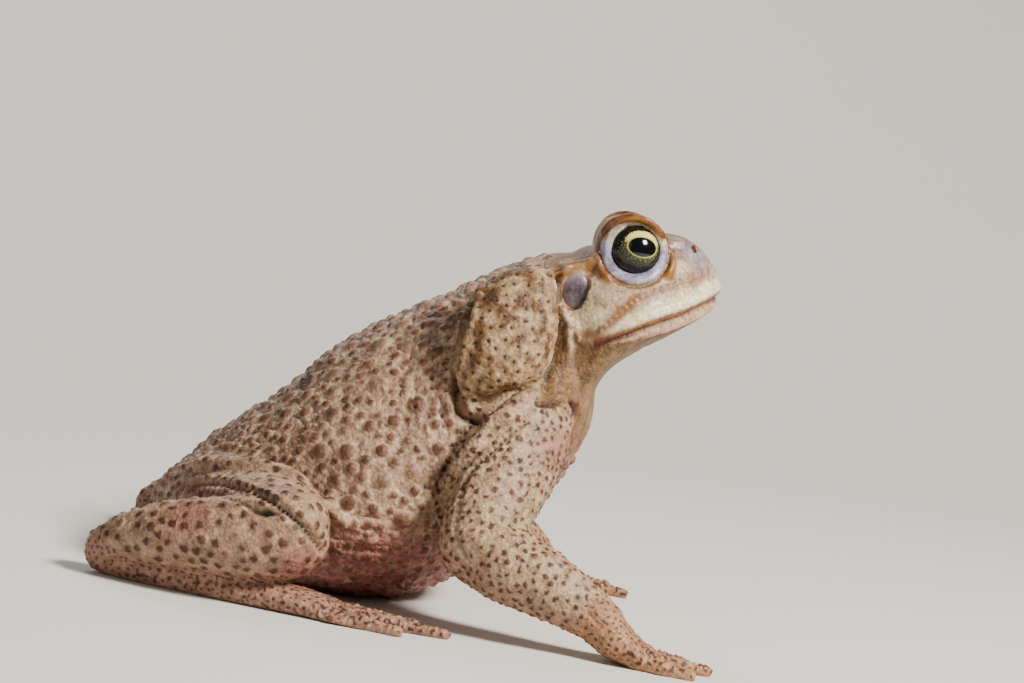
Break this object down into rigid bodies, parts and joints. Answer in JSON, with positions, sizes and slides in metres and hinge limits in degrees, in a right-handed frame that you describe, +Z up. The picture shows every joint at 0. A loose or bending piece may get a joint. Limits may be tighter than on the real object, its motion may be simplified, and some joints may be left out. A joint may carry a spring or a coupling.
{
  "type": "cane toad",
  "caption": "Life-size still model of a cane toad sitting up on its haunches, with warty skin, swollen parotoid glands, raised brows and straightened forelegs.",
  "frame": {"origin": "on the floor, under the centre of the whole toad's bounding box", "axes": "+X the way the toad faces, +Y to its left, +Z up"},
  "size_m": [0.126, 0.1124, 0.0875],
  "materials": {
    "back_skin": "matt, warty, tan with dark brown wart tops",
    "head_skin": "tan to cream, orange-brown on the crests",
    "gland_skin": "mottled cream and brown, with pores",
    "limb_skin": "pale tan with small brown spots",
    "hand_skin": "orange-brown, ringed fingers and toes",
    "eye": "glossy, black with gold-green flecks",
    "eardrum": "smooth, grey-mauve"
  },
  "bodies": {
    "root": {"torso": "back_skin", "head": "head_skin", "parotoid_r": "gland_skin", "parotoid_l": "gland_skin", "upper_arm_r": "limb_skin", "upper_arm_l": "limb_skin", "forearm_r": "limb_skin", "forearm_l": "limb_skin", "hand_r": "hand_skin", "hand_l": "hand_skin", "thigh_r": "back_skin", "thigh_l": "back_skin", "shank_r": "back_skin", "shank_l": "back_skin", "foot_r": "hand_skin", "foot_l": "hand_skin", "eye_r": "eye", "eye_l": "eye", "tympanum_r": "eardrum", "tympanum_l": "eardrum"}
  },
  "joints": []
}
